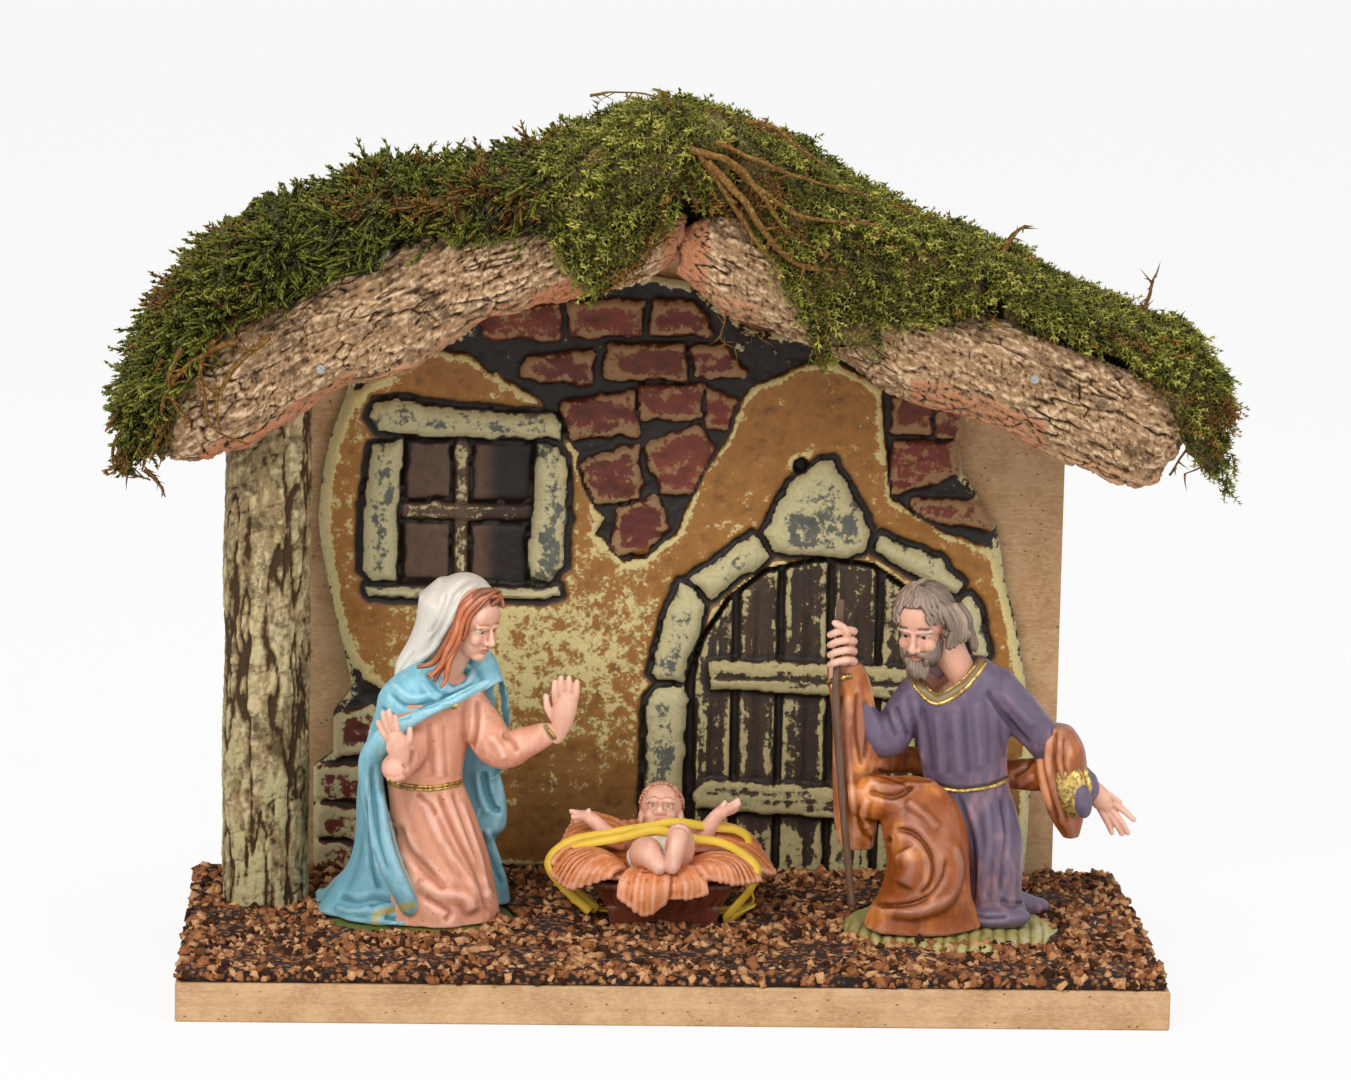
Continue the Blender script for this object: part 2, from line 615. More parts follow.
def bark_section(x, low, high, bulge, grow, chance):
    """Ring of one bark strip: flat back against the roof edge, rough rounded face."""
    depth = BARK_THICKNESS * bulge
    tall = high - low
    shape = ((0.0, 0.14), (0.0, 0.88), (0.30, 1.0), (0.72, 0.96), (0.97, 0.74), (1.0, 0.50),
             (0.94, 0.24), (0.58, 0.0))
    ring = []
    middle = Vector((x, BARK_BACK - depth / 2, (low + high) / 2))
    for part_depth, part_height in shape:
        rough = 0.06 * chance.uniform(-1, 1) if part_depth > 0 else 0.0
        point = Vector((x, BARK_BACK - depth * (part_depth + rough),
                        low + tall * (part_height + 0.4 * rough)))
        if grow:
            away = point - middle
            point += Vector((0.0, math.copysign(grow, away.y), math.copysign(grow, away.z)))
        ring.append(point)
    return ring


def bark_strip(name, side, stations, grow=0.0):
    chance = random.Random(7 if side < 0 else 11)
    scale = BARK_HEIGHT / BARK_DRAWN_HEIGHT
    sections = []
    for number, (place, low, high, bulge) in enumerate(stations):
        x = BARK_JOINT_X + side * (FIT_GAP / 2 + place * (BARK_REACH - side * BARK_JOINT_X))
        if grow and number == 0:
            x -= side * grow
        if grow and number == len(stations) - 1:
            x += side * grow
        sections.append(bark_section(x, roof_under(x) + low * scale, roof_under(x) + high * scale,
                                     bulge, grow, chance))
    return loft(name, sections)


def bark_post(grow=0.0):
    """Rough branch whose sloping top meets the underside of the left roof board."""
    chance = random.Random(3)
    sides = 14
    levels = 7
    radius = POST_DIAMETER / 2
    uneven = [1 + 0.05 * chance.uniform(-1, 1) for _ in range(sides)]
    sections = []
    for level in range(levels):
        part = level / (levels - 1)
        lean = 0.0006 * math.sin(5 * part)
        ring = []
        for k in range(sides):
            angle = 2 * math.pi * k / sides
            reach = radius * uneven[k] * (1 + 0.03 * math.sin(4 * angle + 6 * part)) + grow
            x = POST_X + lean + reach * math.cos(angle)
            y = POST_Y + reach * math.sin(angle)
            top = roof_under(x) - FIT_GAP / math.cos(ROOF_PITCH)
            ring.append((x, y, FLOOR - grow + (top + grow - (FLOOR - grow)) * part))
        sections.append(ring)
    return loft("bark_post", sections)


def glue_bead(grow=0.0):
    """Bead of hot glue that sits on the top edge of the left bark strip."""
    place = GLUE_REACH / BARK_REACH
    stations = BARK_LEFT_STATIONS
    for (start, _, high_start, _), (end, _, high_end, _) in zip(stations, stations[1:]):
        if start <= place <= end:
            above = high_start + (high_end - high_start) * (place - start) / (end - start)
    z = roof_under(GLUE_REACH) + above * BARK_HEIGHT / BARK_DRAWN_HEIGHT + GLUE_HEIGHT * 0.30
    return ball("glue_bead", (-GLUE_REACH, BARK_BACK - BARK_THICKNESS * 0.62, z),
                (GLUE_LENGTH / 2, GLUE_HEIGHT * 0.75, GLUE_HEIGHT / 2), (0, 20, 0), grow, 12)


# Moss

def moss_clump(name, first, last, stations):
    """Lumpy cushion of moss over the roof boards and down over the bark strips."""
    chance = random.Random(len(name) + int(abs(128 * first)))
    scale = MOSS_HEIGHT / MOSS_DRAWN_HEIGHT
    sections = []
    low_end = first * ROOF_REACH + FIT_GAP / 2
    high_end = last * ROOF_REACH - FIT_GAP / 2
    for number, (crest, front, lip) in enumerate(stations):
        x = low_end + (high_end - low_end) * number / (len(stations) - 1)
        under = roof_under(x)
        top = under + crest * scale
        face = BARK_FACE - front * scale
        foot = under + lip * scale
        back = ROOF_BACK + 0.001
        outer = abs(x) > ROOF_REACH
        seat = foot + 0.003 if outer else under + ROOF_BOARD_THICKNESS * 0.4
        hidden = foot + 0.002 if outer else max(foot + 0.004, under + 0.002)
        tall = top - under
        ring = [
            (back, under - MOSS_REAR_DROP), (back + 0.0015, under + 0.35 * tall),
            (back - 0.006, under + 0.78 * tall), (back - 0.020, under + 0.96 * tall),
            (back - 0.036, top), (face + 0.015, top - 0.06 * tall),
            (face + 0.005, top - 0.25 * (top - foot)),
            (face, foot + 0.45 * (top - foot)), (face + 0.001, foot + 0.001), (face + 0.0035, foot),
            (min(face + 0.009, BARK_BACK - 0.003), hidden),
            (BARK_BACK + 0.004, seat), (ROOF_BACK - 0.001, seat),
        ]
        section = []
        for k, (y, z) in enumerate(ring):
            bump = MOSS_LUMP if 1 < k < 8 else 0.0
            section.append((x, y + bump * chance.uniform(-1, 1), z + bump * chance.uniform(-1, 1)))
        sections.append(section)
    return loft(name, sections)


# Moulded wall

def wall_points(outline):
    """Real x and z of an outline drawn on the wall."""
    return [(x * RELIEF_WIDTH / WALL_DRAWN_WIDTH, FLOOR + z * RELIEF_HEIGHT / WALL_DRAWN_HEIGHT)
            for x, z in outline]


def raised(name, outline, raise_by, sink=0.002):
    """Flat patch that stands raise_by in front of the backing plate and is rooted in it."""
    return flat_piece(name, wall_points(outline), PLATE_FRONT - raise_by, PLATE_FRONT + sink)


def wall_relief():
    """The moulding is one casting, so every raised patch is joined to its plate.

    Patches that may touch get slightly unlike depths, which keeps their faces apart.
    """
    wall = flat_piece("wall_relief", wall_points(WALL_OUTLINE), PLATE_FRONT, RELIEF_BACK)
    wall = combine(wall, raised("plaster", PLASTER_LEFT, PLASTER_RAISE), "UNION")
    recesses = [raised("recess", outline, STONE_RAISE, depth)
                for outline, depth in ((DOOR_OUTLINE, DOOR_RECESS), (WINDOW_OUTLINE, WINDOW_RECESS))]
    wall = carve(wall, recesses)
    forms = []
    for number, outline in enumerate(BRICKS):
        forms.append(raised("brick", outline, BRICK_RAISE + 0.0001 * (number % 4)))
    for number, outline in enumerate(WINDOW_STONES + DOOR_STONES):
        forms.append(raised("stone", outline, STONE_RAISE + 0.00015 * (number % 5), 0.003))
    for number, (left, right) in enumerate(DOOR_PLANKS_X):
        outline = [(left, 1.5), (left, plank_top(left)), (right, plank_top(right)), (right, 1.5)]
        forms.append(raised("plank", outline, PLANK_RAISE - DOOR_RECESS + 0.0012 + 0.0001 * number, 0.0031))
    for outline in DOOR_BATTENS:
        forms.append(raised("batten", outline, BATTEN_RAISE - DOOR_RECESS + 0.0014, 0.0033))
    for number, outline in enumerate((MUNTIN_UPRIGHT, MUNTIN_CROSS)):
        forms.append(raised("muntin", outline, MUNTIN_RAISE - 0.0010 - 0.0002 * number, 0.0034))
    for form in forms:
        wall = combine(wall, form, "UNION")
    half = BASE_WIDTH
    below = FIT_GAP / math.cos(ROOF_PITCH)
    sky = [(-half, roof_under(half) - below), (0.0, RIDGE_HEIGHT - below),
           (half, roof_under(half) - below), (half, 2 * RIDGE_HEIGHT), (-half, 2 * RIDGE_HEIGHT)]
    return keep_main_body(carve(wall, [flat_piece("sky", sky, 0.0, 2 * PANEL_BACK)]))


def plank_top(x):
    """Height of the door's arch at x, a little inside the stones."""
    for (x_a, z_a), (x_b, z_b) in zip(DOOR_OUTLINE, DOOR_OUTLINE[1:]):
        if x_a <= x <= x_b and x_b > x_a:
            return z_a + (z_b - z_a) * (x - x_a) / (x_b - x_a) - 1.0
    return 50.0


# Figures: shapes are drawn in millimetres from the figure's own place, and follow its height

class Figure:
    """Scale and place of one moulded figure, and the oval foot that it stands on."""

    def __init__(self, place, height, drawn_height, foot=(0.0, 0.0, 0.0)):
        self.place = place
        self.scale = height / drawn_height
        self.foot_width, self.foot_depth, self.foot_thickness = foot
        self.stand = (self.foot_thickness + FIT_GAP) / self.scale if self.foot_thickness else 0.0

    def point(self, x, y, z):
        return (self.place[0] + x * self.scale, self.place[1] + y * self.scale, FLOOR + z * self.scale)

    def limb(self, name, points, grow=0.0, steps=2, resolution=1):
        return tube(name, [(*self.point(x, y, z), radius * self.scale) for x, y, z, radius in points],
                    grow, steps, resolution)

    def lump(self, name, centre, radii, turn=(0, 0, 0), grow=0.0, segments=12):
        return ball(name, self.point(*centre), [radius * self.scale for radius in radii], turn, grow,
                    segments)

    def cloth(self, name, rings, grow=0.0, sides=18, folds=0, fold_depth=0.0, phase=0.0):
        real = [(*self.point(x, y, z), half_x * self.scale, half_y * self.scale, turn)
                for x, y, z, half_x, half_y, turn in rings]
        return draped(name, real, grow, sides, folds, fold_depth, phase)


MOTHER = Figure(MOTHER_PLACE, MOTHER_HEIGHT, 93.8,
                (MOTHER_FOOT_WIDTH, MOTHER_FOOT_DEPTH, MOTHER_FOOT_THICKNESS))
FATHER = Figure(FATHER_PLACE, FATHER_HEIGHT, 93.8,
                (FATHER_FOOT_WIDTH, FATHER_FOOT_DEPTH, FATHER_FOOT_THICKNESS))


def figure_foot(name, figure, grow=0.0, rise=0.0):
    """Oval foot that the figure is moulded on; a rise takes a cut for it up through the ground."""
    x, y, floor = figure.point(0, 0, 0)
    wide = figure.foot_width / 2
    deep = figure.foot_depth / 2
    rings = [(x, y, floor, wide, deep, 0), (x, y, floor + 0.55 * figure.foot_thickness, wide, deep, 0),
             (x, y, floor + figure.foot_thickness + rise, wide * 0.86, deep * 0.86, 0)]
    return draped(name, rings, grow, 20, 9, 0.03)


def mother_gown_forms(grow=0.0):
    foot = MOTHER.stand
    skirt = [
        (5, -2, foot, 17.5, 15.5, 25), (5, -2, foot + 7, 16.5, 15, 25), (5, -1, 18, 14.5, 13, 20),
        (4, -1, 26, 12.5, 11.5, 15), (2, -1, 34, 11, 9.5, 0), (0.5, -1.5, 40, 10.2, 8, 0),
        (1, -1.5, 47, 9.6, 7.6, 0), (2, -1.5, 56, 11, 7.8, 0), (2.5, -1.5, 63, 12, 7.2, 0),
        (4, -1.5, 66.5, 8.5, 5.5, 0), (5, -1.5, 68.5, 4.5, 4, 0),
    ]
    return [
        MOTHER.cloth("skirt", skirt, grow, 20, 7, 0.05, 0.6),
        MOTHER.limb("sleeve_near", [(12, -2, 60, 5), (17, -4, 53, 5.8), (20.5, -5, 48.5, 5.6),
                                  (26, -6, 50, 4.6), (32, -6, 52.8, 3.6)], grow),
        MOTHER.limb("sleeve_far", [(-7, -3, 60, 5), (-9.5, -6, 50, 5.4), (-9, -12, 45, 5.2),
                                 (-7.5, -17, 45.5, 4.9)], grow),
    ]


def mother_head_forms(grow=0.0):
    return [
        MOTHER.limb("neck", [(5.5, -1.5, 66, 3.6), (8, -2.5, 71, 3.7), (11, -3.5, 77, 4)], grow),
        MOTHER.lump("skull", (12.4, -3.2, 82.3), (7.0, 7.6, 8.6), (12, 14, 0), grow),
        MOTHER.lump("jaw", (13.6, -5.6, 77.6), (4.6, 4.9, 5.6), (20, 12, 0), grow),
        MOTHER.limb("hair_fall", [(9.5, -6.4, 86, 3.0), (6.8, -6.6, 77, 3.0), (3.2, -6.4, 70, 2.8),
                                (1.5, -6.0, 66.5, 1.8)], grow),
    ]


def mother_veil_forms(grow=0.0):
    return [
        MOTHER.lump("crown", (9.8, 0.2, 83.6), (9.6, 9.8, 10.1), (0, 14, 0), grow, 16),
        MOTHER.limb("fall", [(6, 1, 84, 9), (1, 2, 77, 8.2), (-3, 2.5, 71.5, 6.4), (-6.5, 2, 66.5, 4.2)], grow),
    ]


def mother_cloak_forms(grow=0.0):
    foot = MOTHER.stand
    folds = [
        (-8, 5, foot, 19.5, 21, 25), (-7, 5.5, foot + 5, 17, 17.5, 20), (-5, 6, 15, 14.5, 13, 10),
        (-2.5, 7, 22, 15.5, 11, 5), (0, 6.5, 34, 17.5, 10.5, 0), (1, 5.5, 42, 17.4, 9.8, 0),
        (1, 4, 50, 15.5, 9.2, 0), (2, 1.5, 57, 13.6, 9.4, 0), (2.6, 0, 63, 13.4, 9.4, 0),
        (3.5, -0.8, 67, 10.5, 7.6, 0), (4.5, -1.2, 70, 6.4, 5.6, 0),
    ]
    return [
        MOTHER.cloth("folds", folds, grow, 24, 8, 0.07, 1.0),
        MOTHER.limb("train", [(17, 9, foot + 4, 5.6), (17.6, 10, 17, 5.2), (17.8, 9.5, 28, 5.0),
                              (16, 7.5, 38, 4.8), (13, 5, 46, 4.4)], grow),
        MOTHER.limb("front_edge", [(15, -2, 70, 2.6), (9, -8, 66.5, 2.8), (0, -9.5, 62, 2.9),
                                 (-8, -8, 57, 3.2), (-13, -2, 48, 3.6), (-15, 2, 36, 3.4)], grow),
    ]


def open_hand(name, figure, wrist, palm, fingers, thumb, grow=0.0):
    """Hand as a wrist, a flat palm, a mitten of fingers and a thumb."""
    tip = [(*fingers[0], 2.1), (*fingers[1], 1.5)]
    return [
        figure.limb(name, [(*wrist, 2.1), (*palm, 2.3)], grow),
        figure.lump("palm", palm, (3.1, 1.7, 3.9), (0, 0, 12), grow, 10),
        figure.limb("fingers", [(*palm, 2.2)] + tip, grow),
        figure.limb("thumb", [(*palm, 1.3), (*thumb, 0.9)], grow),
    ]


def mother_near_hand(grow=0.0):
    return open_hand("mother_left_hand", MOTHER, (33, -6.2, 53.4), (35.6, -6.6, 58.5),
                     ((37, -6.8, 63.5), (38, -6.8, 67)), (32.6, -7.6, 64), grow)


def mother_far_hand(grow=0.0):
    return open_hand("mother_right_hand", MOTHER, (-7.2, -18.5, 46.5), (-7.4, -18.8, 51.5),
                     ((-9.2, -18.4, 56.5), (-10.2, -18.2, 60)), (-3.6, -19.2, 54.8), grow)


def father_tunic_forms(grow=0.0):
    foot = FATHER.stand
    body = [
        (11, 3, foot, 10.5, 13, 0), (10.5, 3, 12, 8.5, 11.5, 0), (10.5, 2, 20, 8.5, 10.5, 0),
        (8.5, 2, 28, 10, 9.5, 0), (4.5, 2.5, 36, 11.8, 8.5, 0), (3.4, 2, 41.5, 11.2, 7.8, 0),
        (2.2, 1.5, 50, 12, 8.2, 0), (1.8, 1, 60, 14.2, 8.6, 0), (1.5, 0.5, 67, 13.6, 7.6, 0),
        (1, 0, 71.5, 9, 6, 0), (0.5, 0, 73.5, 5.5, 4.6, 0),
    ]
    return [
        FATHER.cloth("body", body, grow, 20, 6, 0.04, 0.4),
        FATHER.limb("near_sleeve", [(-9, 1, 65, 5.6), (-14, 1, 57, 5.6), (-17.5, 0.5, 52, 5.0),
                                    (-21, 0, 54, 4.4), (-25, 0, 61, 3.8), (-28.5, 0, 69, 3.2)], grow),
        FATHER.limb("far_sleeve", [(11, 1, 66, 5.8), (18, 2, 58, 5.6), (24, 4, 51, 5.0),
                                   (31, 5, 43.5, 4.8), (34, 5, 40, 5.0)], grow),
        FATHER.limb("rear_foot", [(12, 4, 7.5, 4.4), (19, 8, 6.2, 3.6), (25, 11, 5.4, 2.4)], grow),
    ]


def father_head_forms(grow=0.0):
    return [
        FATHER.limb("neck", [(1, 0, 69, 4.6), (-1.5, -0.8, 75, 4.8), (-4, -1.5, 80, 5)], grow),
        FATHER.lump("skull", (-6.8, -1.8, 84.2), (8.6, 8.6, 9.4), (0, -12, 0), grow),
        FATHER.lump("beard", (-8.8, -4.4, 77.6), (6.8, 6.8, 6.8), (14, -10, 0), grow),
        FATHER.limb("hair_fall", [(-1, 2, 86, 5.4), (0.5, 1, 79, 5.0), (1.6, 0.5, 75.6, 3.2)], grow),
    ]


def father_staff(grow=0.0):
    radius = STAFF_DIAMETER / 2 / FATHER.scale
    foot = FATHER.stand
    return [FATHER.limb("father_staff", [(-24.6, 4.5, foot, radius), (-28.2, -1, 50, radius),
                                         (-30.6, -4.2, 90.2, radius)], grow, 4, 2)]


def father_near_hand(grow=0.0):
    """Fist closed round the staff."""
    return [
        FATHER.limb("fist_wrist", [(-29.4, -1.6, 71.5, 2.6), (-30.2, -3.2, 76, 3.0)], grow),
        FATHER.lump("fist", (-30.0, -3.6, 78.2), (4.1, 4.0, 5.4), (0, -8, 0), grow, 12),
    ]


def father_far_hand(grow=0.0):
    return open_hand("father_left_hand", FATHER, (36, 4.5, 38.5), (40.5, 4, 34.5),
                     ((45, 3.4, 30.2), (47.6, 3, 27.6)), (41.2, 3, 28.8), grow)


def father_cloak_forms(grow=0.0):
    foot = FATHER.stand
    near_drape = [
        (-26.0, -4, 24, 4.6, 3.2, 0), (-26.4, -4, 32, 6.4, 4.4, 0), (-26.8, -3, 45, 6.2, 5.2, 0),
        (-26.6, -2.4, 57, 6.4, 5.6, 0), (-28.4, -2, 68, 6.2, 5.2, 0), (-29.6, -2, 72.5, 4.8, 4.2, 0),
    ]
    far_drape = [
        (30, 4, 25.5, 2.6, 2.2, 0), (29.2, 4, 32, 5.0, 5.0, 0), (28.4, 4, 42, 7.0, 7.0, 0),
        (28.0, 4, 50, 6.4, 7.2, 0), (27.4, 4, 55.2, 3.4, 4.2, 0),
    ]
    lap = [
        (-8, -9, foot, 15.5, 11.5, 12), (-8, -9, foot + 4, 14, 11, 12), (-7.4, -9, 14, 11.5, 11, 8),
        (-7, -9, 22, 10.5, 10.6, 0), (-8, -7.5, 30, 11, 9.5, -10), (-10, -5.5, 38, 11, 7.5, -20),
        (-12, -4, 43.5, 7.5, 4.5, -20),
    ]
    return [
        FATHER.cloth("lap", lap, grow, 20, 6, 0.05, 0.3),
        FATHER.cloth("near_drape", near_drape, grow, 14, 4, 0.10, 0.5),
        FATHER.limb("across_lap", [(-24, -4, 38, 6), (-16, -5, 38, 6.4), (-9, -8, 32, 7)], grow),
        FATHER.limb("behind_back", [(-24, 0, 46, 4.4), (-14, 9, 45, 3.8), (2, 12.5, 43, 3.8),
                                    (16, 11, 41, 4), (25, 7, 42, 5)], grow, 2),
        FATHER.cloth("far_drape", far_drape, grow, 14, 4, 0.10, 0.2),
    ]


# Manger

def crib_feet(grow=0.0):
    """Cross boards under the front and rear of the tub."""
    x, y = MANGER_PLACE
    half_x = CRIB_WIDTH * 0.37 + grow
    half_y = CRIB_FOOT_THICKNESS / 2 + grow
    top = TUB_FLOOR + 0.002 + grow
    feet = []
    for side in (-1, 1):
        foot_y = y + side * CRIB_DEPTH * 0.34
        feet.append(box("foot", (x - half_x, foot_y - half_y, FLOOR - grow),
                        (x + half_x, foot_y + half_y, top)))
    return feet


def crib_forms(grow=0.0):
    """Small tub on two cross boards, wider at the rim than at the floor."""
    x, y = MANGER_PLACE
    half_x = CRIB_WIDTH / 2
    half_y = CRIB_DEPTH / 2
    corner = CRIB_CORNER

    def rounded(wide, deep, z):
        return [Vector((x + sx * (wide + grow - cx), y + sy * (deep + grow - cy), z))
                for sx, sy, cx, cy in ((-1, -1, corner, 0), (1, -1, corner, 0), (1, -1, 0, corner),
                                       (1, 1, 0, corner), (1, 1, corner, 0), (-1, 1, corner, 0),
                                       (-1, 1, 0, corner), (-1, -1, 0, corner))]

    tub = loft("tub", [rounded(half_x * 0.78, half_y * 0.80, TUB_FLOOR - grow),
                       rounded(half_x, half_y, CRIB_RIM + grow)])
    return [tub] + crib_feet(grow)


def straw_fan(grow=0.0):
    """Sheaf of straw spread over the crib, its lobes drooping over the rim."""
    x, y = MANGER_PLACE
    sides = 42
    rows = (0.12, 0.45, 0.72, 0.88, 1.0)
    rim = CRIB_RIM + FIT_GAP

    def surface(part, angle, lift):
        lobe = 1 + 0.17 * part * part * math.cos(5 * angle + 2.27)
        reach_x = STRAW_WIDTH / 2 * part * lobe
        reach_y = STRAW_DEPTH / 2 * part * lobe
        front = 0.5 - 0.5 * math.sin(angle)
        bend = max(0.0, part - 0.4) ** 1.5 / 0.6 ** 1.5
        droop = (STRAW_FRONT_DROOP * front - STRAW_REAR_RISE * (1 - front)) * bend
        crown = STRAW_CROWN * math.sin(math.pi * part)
        return Vector((x + reach_x * math.cos(angle), y + reach_y * math.sin(angle),
                       rim + STRAW_THICKNESS + crown - droop - lift))

    sections = []
    for part in rows:
        sections.append([surface(part, 2 * math.pi * k / sides, -grow) for k in range(sides)])
    for part in rows[::-1]:
        inner = part * (1.0 if part < 1 else 0.97)
        sections.append([surface(inner, 2 * math.pi * k / sides, STRAW_THICKNESS + grow) for k in range(sides)])
    return loft("manger_straw", sections)


CHILD = Figure(MANGER_PLACE, CHILD_LENGTH, 34)
# Height of the child's chest over its bed, as drawn
CHILD_GIRTH = 10.4


def child_forms(grow=0.0):
    """Child lying on its back, head to the rear, arms spread and knees drawn up."""
    bed = (CHILD_BED - FLOOR) / CHILD.scale
    return [
        CHILD.limb("body", [(-0.5, 5, bed + 5.5, 4.8), (-1, -2, bed + 5.2, 5.2), (-1.2, -8, bed + 5.4, 6)],
                   grow, 3, 2),
        CHILD.lump("head", (-0.5, 11, bed + 9.5), (6.1, 6.2, 6.6), (-20, 0, 0), grow, 12),
        CHILD.limb("arm_far", [(-4, 5, bed + 6.5, 2.6), (-13, 4, bed + 6.5, 2.1), (-19, 3, bed + 9.5, 1.6),
                               (-23.5, 2.5, bed + 12.5, 1.4)], grow),
        CHILD.limb("arm_near", [(3, 5, bed + 6.5, 2.6), (11, 4, bed + 7, 2.1), (15.5, 3, bed + 11.5, 1.6),
                                (18.5, 2.5, bed + 15.5, 1.4)], grow),
        CHILD.limb("leg_far", [(-4, -8, bed + 6, 4), (-6, -14, bed + 8.5, 3.2),
                               (-3.5, -19, bed + 5, 2.4)], grow),
        CHILD.limb("leg_near", [(2.5, -8, bed + 6, 4), (4.5, -12.5, bed + 12, 3),
                                (4, -18.5, bed + 7, 2.3)], grow),
    ]


def elastic_band(grow=0.0):
    """One band in two turns round the crib and over the child, crossing under the crib."""
    x, y = MANGER_PLACE
    half = STRAW_WIDTH / 2
    crib = CRIB_WIDTH / 2
    rim = CRIB_RIM + STRAW_THICKNESS
    under = BAND_UNDER
    over = CHILD_BED + CHILD_GIRTH * CHILD.scale + BAND_DIAMETER / 2 + STRAND_GAP + FIT_GAP
    loop = [
        (half + 0.0015, rim + 0.001), (half - 0.003, rim + 0.008), (half * 0.5, over - 0.001),
        (0.0, over), (-half * 0.5, over - 0.001), (-half + 0.003, rim + 0.007),
        (-half - 0.0015, rim - 0.001), (-half + 0.003, rim - 0.008), (-crib * 0.86, under + 0.0002),
        (-crib * 0.4, under), (0.0, under), (crib * 0.4, under), (crib * 0.86, under + 0.0002),
        (half - 0.003, rim - 0.008),
    ]
    smooth = smooth_path([(a, b) for a, b in loop], 2, True)
    count = len(smooth)
    start = [k for k, (a, b) in enumerate(smooth) if b == over][0]
    points = []
    radius = BAND_DIAMETER / 2 + grow
    for step in range(2 * count):
        a, b = smooth[(start + step) % count]
        turn = math.pi * step / count
        shift = BAND_SPREAD / 2 * math.cos(turn)
        away = STRAND_GAP * math.sin(turn)
        middle = Vector((0.0, 0.0, (over + under) / 2))
        radial = (Vector((a, 0.0, b)) - middle).normalized()
        if abs(a) < crib and b < rim:
            radial = Vector((0.0, 0.0, -1.0))
        points.append((x + a + radial.x * away, y + shift, b + radial.z * away, radius))
    return tube("elastic_band", points, 0.0, 1, 1, True)


# Ground

def ground_cork():
    """Heaped layer of cork granules over the board, parted round everything that stands on it."""
    chance = random.Random(5)
    half_x = BASE_WIDTH / 2 - GROUND_MARGIN
    half_y = BASE_DEPTH / 2 - GROUND_MARGIN
    columns = 24
    rows = 11
    work = bmesh.new()
    bmesh.ops.create_grid(work, x_segments=columns, y_segments=rows, size=1.0)
    for vert in work.verts:
        edge = max(abs(vert.co.x), abs(vert.co.y)) > 0.99
        heave = -0.6 * GROUND_HEAVE if edge else GROUND_HEAVE * chance.uniform(-1, 1)
        vert.co = Vector((vert.co.x * half_x, vert.co.y * half_y, FLOOR + GROUND_THICKNESS + heave))
    rim = [edge for edge in work.edges if edge.is_boundary]
    sides = bmesh.ops.extrude_edge_only(work, edges=rim)
    lower = [item for item in sides["geom"] if isinstance(item, bmesh.types.BMVert)]
    for vert in lower:
        vert.co.z = FLOOR
    bmesh.ops.contextual_create(work, geom=[item for item in sides["geom"]
                                            if isinstance(item, bmesh.types.BMEdge)])
    ground = add_object("ground_cork", work)
    cutters = [figure_foot("cut", figure, FIT_GAP, GROUND_THICKNESS) for figure in (MOTHER, FATHER)]
    cutters.append(bark_post(FIT_GAP))
    wall_x = [x for x, z in wall_points(WALL_OUTLINE)]
    wall_front = PLATE_FRONT - STONE_RAISE - 0.001
    cutters.append(box("cut", (min(wall_x) - 0.001, wall_front, 0.0), (max(wall_x) + 0.001, PANEL_BACK, 0.05)))
    cutters += crib_feet(FIT_GAP)
    return keep_main_body(carve(ground, cutters))


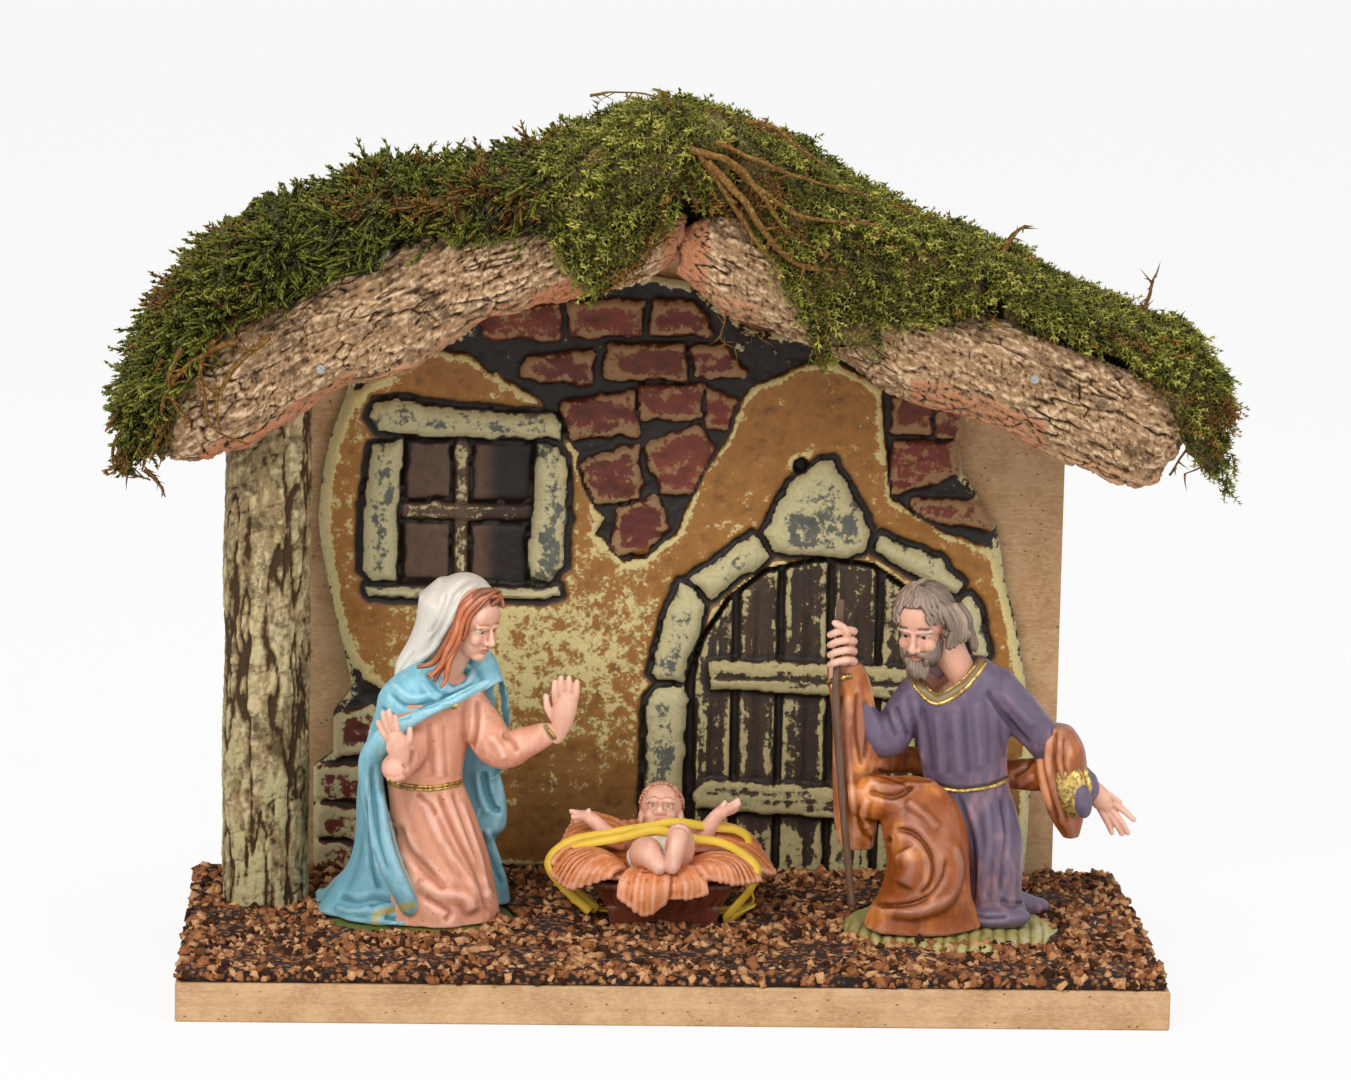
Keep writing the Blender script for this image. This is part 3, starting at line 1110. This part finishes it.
def build():
    brads = [(f"panel_brad_{number + 1}", panel_brad, place)
             for number, place in enumerate((-PANEL_BRAD_SPACING, 0.0, PANEL_BRAD_SPACING))]
    roof_places = [-ROOF_BRAD_X[1], -ROOF_BRAD_X[0], ROOF_BRAD_X[0], ROOF_BRAD_X[1]]
    brads += [(f"roof_brad_{number + 1}", roof_brad, place) for number, place in enumerate(roof_places)]
    bark_places = {"bark_brad_left": -BARK_BRAD_X, "bark_brad_right": BARK_BRAD_X}
    brads += [(name, bark_brad, place) for name, place in bark_places.items()]
    for name, maker, place in brads:
        dress(maker(name, place), "steel")

    base = carve(base_board(), [maker("cut", place, FIT_GAP) for name, maker, place in brads
                                if maker is panel_brad])
    dress(base, "mdf")
    panel = carve(back_panel(), [maker("cut", place, FIT_GAP) for name, maker, place in brads
                                 if maker is not bark_brad])
    dress(panel, "mdf")
    for name, side in (("roof_board_left", -1), ("roof_board_right", 1)):
        cuts = [maker("cut", place, FIT_GAP) for _, maker, place in brads
                if maker is not panel_brad and place * side > 0]
        dress(carve(roof_board(name, side), cuts), "mdf")
    strips = (("bark_fascia_left", -1, BARK_LEFT_STATIONS), ("bark_fascia_right", 1, BARK_RIGHT_STATIONS))
    for name, side, stations in strips:
        place = side * BARK_BRAD_X
        strip = carve(bark_strip(name, side, stations), [bark_brad("cut", place, FIT_GAP)])
        dress(keep_main_body(strip), "bark", 50)
    dress(bark_post(), "branch", 50)
    bead = carve(glue_bead(), [bark_strip("cut", -1, BARK_LEFT_STATIONS, FIT_GAP)])
    dress(keep_main_body(bead), "glue", 60)

    for name, (first, last, stations) in MOSS_CLUMPS.items():
        cuts = [bark_strip("cut", side, rows, FIT_GAP) for _, side, rows in strips]
        cuts += [roof_board("cut", side, FIT_GAP) for side in (-1, 1)]
        cuts += [maker("cut", place, FIT_GAP) for _, maker, place in brads if maker is not panel_brad]
        cuts.append(glue_bead(FIT_GAP))
        dress(keep_main_body(carve(moss_clump(name, first, last, stations), cuts)), "moss", 60)

    dress(wall_relief(), "resin")

    dress(fuse("mother_gown", mother_gown_forms()), "gown", 50)
    dress(figure_foot("mother_base", MOTHER), "grass", 50)
    head = keep_main_body(carve(fuse("mother_head", mother_head_forms()), mother_gown_forms(FIT_GAP)))
    dress(head, "skin", 60)
    veil = carve(fuse("mother_veil", mother_veil_forms()),
                 mother_head_forms(FIT_GAP) + mother_gown_forms(FIT_GAP))
    dress(keep_main_body(veil), "veil", 60)
    cloak = carve(fuse("mother_cloak", mother_cloak_forms()),
                  mother_gown_forms(FIT_GAP) + mother_head_forms(FIT_GAP) + mother_veil_forms(FIT_GAP))
    dress(keep_main_body(cloak), "cloak_blue", 50)
    for name, maker in (("mother_left_hand", mother_near_hand), ("mother_right_hand", mother_far_hand)):
        hand = carve(fuse(name, maker()), mother_gown_forms(FIT_GAP))
        dress(keep_main_body(hand), "skin", 60)

    tunic = carve(fuse("father_tunic", father_tunic_forms()),
                  [figure_foot("cut", FATHER, FIT_GAP)] + father_staff(FIT_GAP))
    dress(keep_main_body(tunic), "tunic", 50)
    dress(figure_foot("father_base", FATHER), "grass", 50)
    head = keep_main_body(carve(fuse("father_head", father_head_forms()), father_tunic_forms(FIT_GAP)))
    dress(head, "skin", 60)
    dress(father_staff()[0], "staff", 50)
    hand = carve(fuse("father_right_hand", father_near_hand()),
                 father_staff(FIT_GAP) + father_tunic_forms(FIT_GAP))
    dress(keep_main_body(hand), "skin", 60)
    hand = carve(fuse("father_left_hand", father_far_hand()), father_tunic_forms(FIT_GAP))
    dress(keep_main_body(hand), "skin", 60)
    cloak = carve(fuse("father_cloak", father_cloak_forms()),
                  father_tunic_forms(FIT_GAP) + father_staff(FIT_GAP) + father_near_hand(FIT_GAP)
                  + father_far_hand(FIT_GAP))
    dress(keep_main_body(cloak), "cloak_brown", 50)

    dress(fuse("manger_crib", crib_forms()), "crib")
    dress(elastic_band(), "rubber", 60)
    child = carve(fuse("child", child_forms()), [elastic_band(FIT_GAP)])
    dress(keep_main_body(child), "skin", 60)
    straw = carve(straw_fan(), crib_forms(FIT_GAP) + child_forms(FIT_GAP) + [elastic_band(FIT_GAP)])
    dress(keep_main_body(straw), "straw", 60)
    dress(ground_cork(), "granules", 50)


build()
